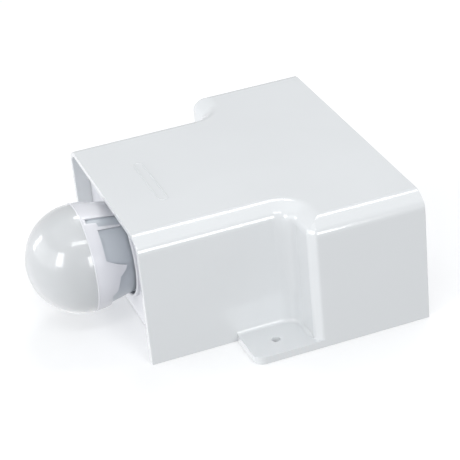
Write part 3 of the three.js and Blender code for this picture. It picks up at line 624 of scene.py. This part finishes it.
lensShape = {"wall": 1.4, "skirt": 3.2, "skirtIn": 0.9, "skirtWall": 0.8, "rim": 0.2, "skirtSlope": 0.3,
             "outerSteps": 40, "innerSteps": 34, "sides": 128}


# A thin dome with a skirt behind it that goes into the collar.
def buildLens():
    p = lensShape
    inner = lensRadius - p["wall"]
    skirt = inner - p["skirtIn"]
    rim = lensCentre + p["rim"]
    rear = lensCentre + p["skirt"]
    outside = [(x, lensCentre - y) for x, y in arc(0, 0, lensRadius, 90, 0, p["outerSteps"])]
    outside[0] = (0, outside[0][1])
    innerFrom = degrees(atan2(p["skirtSlope"], 1))
    inside = [(x, lensCentre - y) for x, y in arc(0, 0, inner, innerFrom, 90, p["innerSteps"])]
    inside[-1] = (0, inside[-1][1])
    joint = [(lensRadius, rim), (skirt + p["skirtWall"], rim), (skirt + p["skirtWall"], rear), (skirt, rear)]
    lens = makeObject("lens_moulding", turned(outside + joint + inside, p["sides"]), (0, 0, headHeight))
    finishPiece(lens, "head", "lens_frost", milkyPolyethylene, "lens_dome")
    print("lens built")


# Distance of the collar's rear edge from the mouth, the same on the left and the right.
def collarRear(angle):
    folded = degrees(atan2(sin(radians(angle)), abs(cos(radians(angle)))))
    for (fromAngle, fromY), (toAngle, toY) in zip(collarEdge, collarEdge[1:]):
        if fromAngle <= folded <= toAngle:
            return fromY + (toY - fromY) * (folded - fromAngle) / (toAngle - fromAngle)
    return collarEdge[-1][1]


# The bead rows are millimetres behind the lens centre and millimetres proud of the lens.
collarShape = {"wall": 0.9, "rearBand": 0.8, "sides": 360,
               "beadRows": ((0.25, 0), (0.5, 0.3), (1.0, 0.3), (1.4, 0))}


def buildCollar():
    p = collarShape
    bm = bmesh.new()
    rows = []
    for behind, proud in p["beadRows"]:
        ring = circle(0, 0, lensRadius + proud, p["sides"])
        rows.append(addChain(bm, [(x, lensCentre + behind, z) for x, z in ring], closed=True))
    for row in range(3):
        points = []
        for side in range(p["sides"]):
            angle = 360 * side / p["sides"]
            rear = collarRear(angle)
            middle = min(headShape["taperFrom"], rear - p["rearBand"])
            y = (middle, (middle + rear) / 2, rear)[row]
            radius = headRadius(y)
            points.append((radius * cos(radians(angle)), y, radius * sin(radians(angle))))
        rows.append(addChain(bm, points, closed=True))
    bridgeChains(bm, rows)
    bmesh.ops.recalc_face_normals(bm, faces=bm.faces)
    bmesh.ops.solidify(bm, geom=bm.faces[:], thickness=p["wall"])
    bmesh.ops.recalc_face_normals(bm, faces=bm.faces)
    collar = makeObject("collar_moulding", bm, (0, 0, headHeight))
    finishPiece(collar, "head", "panel_white", satinAbs, "lens_collar")
    print("collar built")


# Each groove is its radius, its start and its end. The bore is wider in front, behind the lens.
barrelShape = {
    "skin": 0.8, "frontGap": 0.6, "stepIn": 1.3, "stepBack": 1.0, "tail": 23.3, "tailEnd": 6.8,
    "tailCurl": 0.2, "neck": 23.4, "neckFrom": 7.6, "grooves": ((21.2, 11.3, 14.0), (21.4, 15.5, 17.5)),
    "rear": 24.0, "bore": 19.8, "frontBore": 24.5, "frontBoreEnd": -8.0, "sides": 120,
    "stopHalf": 2.0, "stopFrom": 19.0, "stopTo": 21.5, "stopTop": 25.6, "stopBuried": 1.0,
}


def buildBarrel():
    p = barrelShape
    front = lensCentre + p["frontGap"]
    flank = headShape["taperRadius"] - p["skin"]
    step = flank - p["stepIn"]
    tail, neck = p["tail"], p["neck"]
    profile = [(p["frontBore"], front), (step, front), (step, front + p["stepBack"]),
               (flank, front + p["stepIn"]), (flank, headShape["taperFrom"])]
    profile += curved((tail, p["tailEnd"]), (tail - p["tailCurl"], p["neckFrom"]), (neck, p["neckFrom"]))
    for groove, start, end in p["grooves"]:
        profile += [(neck, start), (groove, start), (groove, end), (neck, end)]
    profile += [(neck, p["rear"]), (p["bore"], p["rear"]), (p["bore"], p["frontBoreEnd"]),
                (p["frontBore"], p["frontBoreEnd"])]
    barrel = makeObject("barrel_moulding", turned(profile, p["sides"]), (0, 0, headHeight))
    stop = bmesh.new()
    addBox(stop, (-p["stopHalf"], p["stopFrom"], neck - p["stopBuried"]),
           (p["stopHalf"], p["stopTo"], p["stopTop"]))
    combine(barrel, makeObject("stop", stop, (0, 0, headHeight)), "UNION")
    # The barrel's grey-blue tone is partly painted shade: it is darker than the white parts to stand for the
    # cover's shadow.
    finishPiece(barrel, "head", "head_grey", greyBlueAbsWithPaintedShade, "head_barrel")
    print("barrel built")


# ---- controls on the rear panel

# How far a cutting shape runs past what it cuts.
cutOverrun = 1.0
dialShape = {"shaft": 1.4, "skirtFrom": 128.0, "round": 0.6, "slotHalf": 0.8, "slotDepth": 1.6,
             "slotReach": 4.6, "sides": 64}


# A round knob on a thin shaft, with a screwdriver slot.
def buildDial(name):
    p = dialShape
    low, high = fromMouth(name)
    middle = (low + high) / 2
    radius = (high.x - low.x) / 2
    top = high.y
    profile = [(0, low.y), (p["shaft"], low.y), (p["shaft"], p["skirtFrom"]), (radius, p["skirtFrom"])]
    profile += curved((radius, top - p["round"]), (radius, top), (radius - p["round"], top)) + [(0, top)]
    dial = makeObject(name + "_knob", turned(profile, p["sides"]), (middle.x, 0, middle.z))
    slot = bmesh.new()
    addBox(slot, (-p["slotHalf"], top - p["slotDepth"], -p["slotReach"]),
           (p["slotHalf"], top + cutOverrun, p["slotReach"]))
    combine(dial, makeObject("slot", slot, (middle.x, 0, middle.z)), "DIFFERENCE")
    finishPiece(dial, name, "knob_grey", knobAbs, name)


buttonShape = {"shaft": 1.8, "collar": 5.2, "collarFrom": 128.4, "collarTo": 130.2, "cap": 3.8,
               "roundDown": 0.8, "roundIn": 1.0, "dish": 0.5, "dishReach": 1.5, "sides": 64}


# A dished cap; the collar behind it keeps it in the panel.
def buildButton():
    p = buttonShape
    low, high = fromMouth("test_button")
    middle = (low + high) / 2
    cap, top, dished = p["cap"], high.y, high.y - p["dish"]
    profile = [(0, low.y), (p["shaft"], low.y), (p["shaft"], p["collarFrom"]), (p["collar"], p["collarFrom"]),
               (p["collar"], p["collarTo"]), (cap, p["collarTo"])]
    profile += curved((cap, top - p["roundDown"]), (cap, top), (cap - p["roundIn"], top))
    profile += curved((cap - p["roundIn"], top), (p["dishReach"], dished), (0, dished))[1:]
    button = makeObject("button_cap", turned(profile, p["sides"]), (middle.x, 0, middle.z))
    finishPiece(button, "test_button", "button_orange", orangeAbs, "test_button")


sliderShape = {"rim": 0.3, "grooves": (-1, 0, 1), "grooveHalf": 0.2, "grooveDepth": 0.4}


# A small block with grip grooves across it.
def buildSlider():
    p = sliderShape
    low, high = fromMouth("mode_slider")
    bm = bmesh.new()
    addBox(bm, low, high)
    softenEdges(bm, p["rim"])
    slider = makeObject("slider_thumb", bm)
    for offset in p["grooves"]:
        groove = bmesh.new()
        x = (low.x + high.x) / 2 + offset
        addBox(groove, (x - p["grooveHalf"], high.y - p["grooveDepth"], low.z - cutOverrun),
               (x + p["grooveHalf"], high.y + cutOverrun, high.z + cutOverrun))
        combine(slider, makeObject("groove", groove), "DIFFERENCE")
    finishPiece(slider, "mode_slider", "knob_grey", knobAbs, "mode_slider")


grommetShape = {"bore": 3.6, "waist": 7.7, "grip": 0.3, "draft": 0.2, "curlFrom": 1.0, "curlTo": 2.2,
                "curlIn": 2.0, "curlDown": 0.3, "noseWidth": 0.6, "noseDown": 0.4, "sides": 72}


# A rubber ring that grips the panel between two flanges.
def buildGrommet():
    p = grommetShape
    low, high = fromMouth("cable_grommet")
    middle = (low + high) / 2
    flange = (high.x - low.x) / 2
    bore, waist = p["bore"], p["waist"]
    panelLow, panelHigh = fromMouth("rear_panel")
    front, rear = panelLow.y - p["grip"], panelHigh.y + p["grip"]
    profile = [(bore, low.y), (flange, low.y + p["draft"]), (flange, front), (waist, front), (waist, rear),
               (flange, rear)]
    profile += curved((flange, panelHigh.y + p["curlFrom"]), (flange, panelHigh.y + p["curlTo"]),
                      (flange - p["curlIn"], high.y - p["curlDown"]))
    profile += [(bore + p["noseWidth"], high.y), (bore, high.y - p["noseDown"])]
    grommet = makeObject("grommet_ring", turned(profile, p["sides"]), (middle.x, 0, middle.z))
    finishPiece(grommet, "housing", "rubber_black", blackRubber, "cable_grommet")


def buildControls():
    for name in dialNames:
        buildDial(name)
    buildButton()
    buildSlider()
    buildGrommet()
    print("controls built")


# ---- inner pieces: the frame's own shapes with their edges softened

# For each piece: its slot, its material, and the width of its softened edges in millimetres.
innerPieces = {
    "base_plate": ("panel_white", satinAbs, 0.3),
    "bearing_ring": ("panel_white", satinAbs, 0.15),
    "head_cap": ("head_grey", greyBlueAbsWithPaintedShade, 0.2),
    "lens_baffle": ("baffle_white", whiteNylon, 0.15),
    "head_plug": ("baffle_white", whiteNylon, 0.3),
    "lead_socket": ("baffle_white", whiteNylon, 0.3),
    "terminal_block": ("baffle_white", whiteNylon, 0.2),
    "cord_clamp": ("baffle_white", whiteNylon, 0.3),
    "friction_seal": ("rubber_black", blackRubber, 0),
    "retaining_clip": ("steel_zinc", zincSteel, 0.1),
    "heat_sensor": ("steel_zinc", zincSteel, 0.15),
    "sensor_board": ("board_green", boardLaminate, 0),
    "main_board": ("board_green", boardLaminate, 0),
    "control_board": ("board_green", boardLaminate, 0),
    "transformer": ("winding_yellow", yellowTape, 0.4),
    "filter_capacitor": ("winding_yellow", yellowTape, 0.6),
    "relay": ("relay_blue", bluePolyester, 0.5),
    "surge_absorber": ("relay_blue", bluePolyester, 0.8),
    "supply_capacitor": ("component_black", blackResin, 0.5),
    "controller_chip": ("component_black", blackResin, 0.15),
    "time_pot": ("component_black", blackResin, 0.2),
    "light_pot": ("component_black", blackResin, 0.2),
    "range_pot": ("component_black", blackResin, 0.2),
    "button_switch": ("component_black", blackResin, 0.2),
    "mode_switch": ("component_black", blackResin, 0.2),
    "head_lead": ("lead_grey", greySheath, 0),
    "fuse": ("lamp_clear", clearEpoxy, 0.1),
    "status_lamp": ("lamp_clear", clearEpoxy, 0),
    "light_cell": ("lamp_clear", clearEpoxy, 0),
}
screwEdge = 0.1
for screwName in [name for name in frame["nodes"] if "screw" in name]:
    if screwName.startswith("terminal"):
        innerPieces[screwName] = ("terminal_brass", plainBrass, screwEdge)
    else:
        innerPieces[screwName] = ("steel_zinc", zincSteel, screwEdge)
# In metres, as the frame's shapes are, and in degrees.
weldDistance = 1e-6
flatWithin = 1


def buildInnerPieces():
    for node, (slotName, material, edge) in innerPieces.items():
        source = frame["nodes"][node]
        bm = bmesh.new()
        bm.from_mesh(source.data)
        bmesh.ops.remove_doubles(bm, verts=bm.verts, dist=weldDistance)
        bmesh.ops.dissolve_limit(bm, angle_limit=radians(flatWithin), verts=bm.verts, edges=bm.edges)
        if edge:
            softenEdges(bm, edge * mm)
        bmesh.ops.dissolve_degenerate(bm, edges=bm.edges, dist=weldDistance)
        piece = linkMesh(node + "_finished", bm)
        finishPiece(piece, source["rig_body"], slotName, material, node)
    print("inner pieces built", len(innerPieces))


# ---- camera, floor and lights

# Angles in degrees, distance, clip end and target in metres, lens and sensor in millimetres.
view = {"azimuth": 72.06, "elevation": 29.39, "distance": 0.8828, "roll": -5.8, "lens": 132.6, "sensor": 36,
        "clipEnd": 20, "target": (0.0065, 0.0161, 0.0329)}


# Azimuth from the lens side (-Y) towards +X, elevation above the floor.
def direction(azimuth, elevation):
    a, e = radians(azimuth), radians(elevation)
    return Vector((sin(a) * cos(e), -cos(a) * cos(e), sin(e)))


def addCamera():
    camera = bpy.data.objects.new("camera", bpy.data.cameras.new("camera"))
    camera.data.lens = view["lens"]
    camera.data.sensor_width = view["sensor"]
    camera.data.clip_end = view["clipEnd"]
    back = direction(view["azimuth"], view["elevation"])
    camera.location = Vector(view["target"]) + back * view["distance"]
    aim = back.to_track_quat("Z", "Y").to_matrix().to_4x4()
    camera.rotation_euler = (aim @ Matrix.Rotation(radians(view["roll"]), 4, "Z")).to_euler()
    bpy.context.scene.collection.objects.link(camera)
    bpy.context.scene.camera = camera


# Width, height and distance from the head in metres, power in watts.
softboxes = {
    "key_box": {"azimuth": 31, "elevation": 23, "distance": 1.3, "size": (0.34, 0.62), "power": 4.3},
    "front_box": {"azimuth": -5, "elevation": 17, "distance": 1.8, "size": (2.4, 1.0), "power": 8.0},
    "window_box": {"azimuth": 80, "elevation": 60, "distance": 1.4, "size": (0.72, 0.2), "power": 2.6},
    "over_box": {"azimuth": 0, "elevation": 86, "distance": 1.6, "size": (2.4, 2.4), "power": 4.4},
    "rear_box": {"azimuth": 185, "elevation": 20, "distance": 1.8, "size": (2.0, 1.0), "power": 7.0},
    "left_strip": {"azimuth": -43, "elevation": 14, "distance": 1.3, "size": (0.2, 0.5), "power": 1.6},
    "back_box": {"azimuth": -127, "elevation": 60, "distance": 1.4, "size": (0.64, 0.2), "power": 4.0},
    "side_box": {"azimuth": 104, "elevation": 18, "distance": 1.4, "size": (0.44, 0.5), "power": 5.0},
}


# Even white surroundings, with a broad reflector card low in front that lights the lens from below.
surroundings = {"strength": 0.49, "tint": "#fcfdff", "cardAzimuth": -32, "cardElevation": -40,
                "cardStrength": 0.8, "cardEdge": 0.2}


def addWorld():
    s = surroundings
    world = bpy.data.worlds.new("studio")
    world.use_nodes = True
    outward = addNode(world, "ShaderNodeTexCoord", {})
    card = addNode(world, "ShaderNodeVectorMath", {"operation": "DOT_PRODUCT"},
                   Vector=outward.outputs["Generated"])
    card.inputs[1].default_value = direction(s["cardAzimuth"], s["cardElevation"])
    glow = addNode(world, "ShaderNodeMapRange", {"From Min": s["cardEdge"], "To Min": s["strength"],
                                                 "To Max": s["strength"] + s["cardStrength"]},
                   Value=card.outputs["Value"])
    background = world.node_tree.nodes["Background"]
    background.inputs["Color"].default_value = srgb(s["tint"])
    world.node_tree.links.new(glow.outputs["Result"], background.inputs["Strength"])
    return world


def addLights():
    centre = Vector(headJoint["pos_m"])
    for name, box in softboxes.items():
        lamp = bpy.data.lights.new(name, "AREA")
        lamp.shape = "RECTANGLE"
        lamp.size, lamp.size_y = box["size"]
        lamp.energy = box["power"]
        light = bpy.data.objects.new(name, lamp)
        back = direction(box["azimuth"], box["elevation"])
        light.location = centre + back * box["distance"]
        light.rotation_euler = back.to_track_quat("Z", "Y").to_euler()
        bpy.context.scene.collection.objects.link(light)
    bpy.context.scene.world = addWorld()
    bpy.context.scene.view_settings.view_transform = "Standard"


floorShape = {"half": 4.0, "below": 0.0002}


# The camera sees the floor, but the object neither mirrors it nor takes light from it.
def addFloor():
    bm = bmesh.new()
    bmesh.ops.create_grid(bm, x_segments=1, y_segments=1, size=floorShape["half"])
    bmesh.ops.translate(bm, vec=(0, 0, -floorShape["below"]), verts=bm.verts)
    floor = linkMesh("floor", bm)
    floor.data.materials.append(paleFloor)
    floor.visible_diffuse = False
    floor.visible_glossy = False


addCamera()
addLights()
addFloor()
print("camera, lights and floor ready")
buildCover()
buildFrontPanel()
buildRearPanel()
buildLens()
buildCollar()
buildBarrel()
buildControls()
buildInnerPieces()
